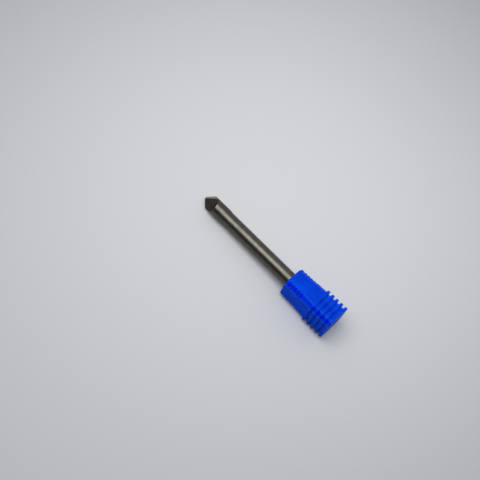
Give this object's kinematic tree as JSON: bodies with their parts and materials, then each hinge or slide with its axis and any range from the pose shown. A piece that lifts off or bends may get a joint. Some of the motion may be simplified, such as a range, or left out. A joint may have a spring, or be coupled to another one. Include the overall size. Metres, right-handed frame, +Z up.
{
  "type": "v groove router bit",
  "caption": "Solid carbide V groove router bit with a right-angled point on a thin blade, its round shank held in a ribbed blue plastic plug.",
  "frame": {"origin": "on the floor, under the middle of the bounding box of the tool as it lies", "axes": "+X from the cutting tip towards the back of the plug, along the floor; +Z up; the tool's own axis leans 3.0 degrees nose down from +X"},
  "size_m": [0.0698, 0.012, 0.0125],
  "materials": {
    "carbide": "finely ground tungsten carbide, dark warm grey, with a long soft highlight",
    "blue_plastic": "injection moulded polyethylene, bright blue, satin"
  },
  "bodies": {
    "root": {"router_bit": "carbide", "shank_plug": "blue_plastic"}
  },
  "joints": []
}
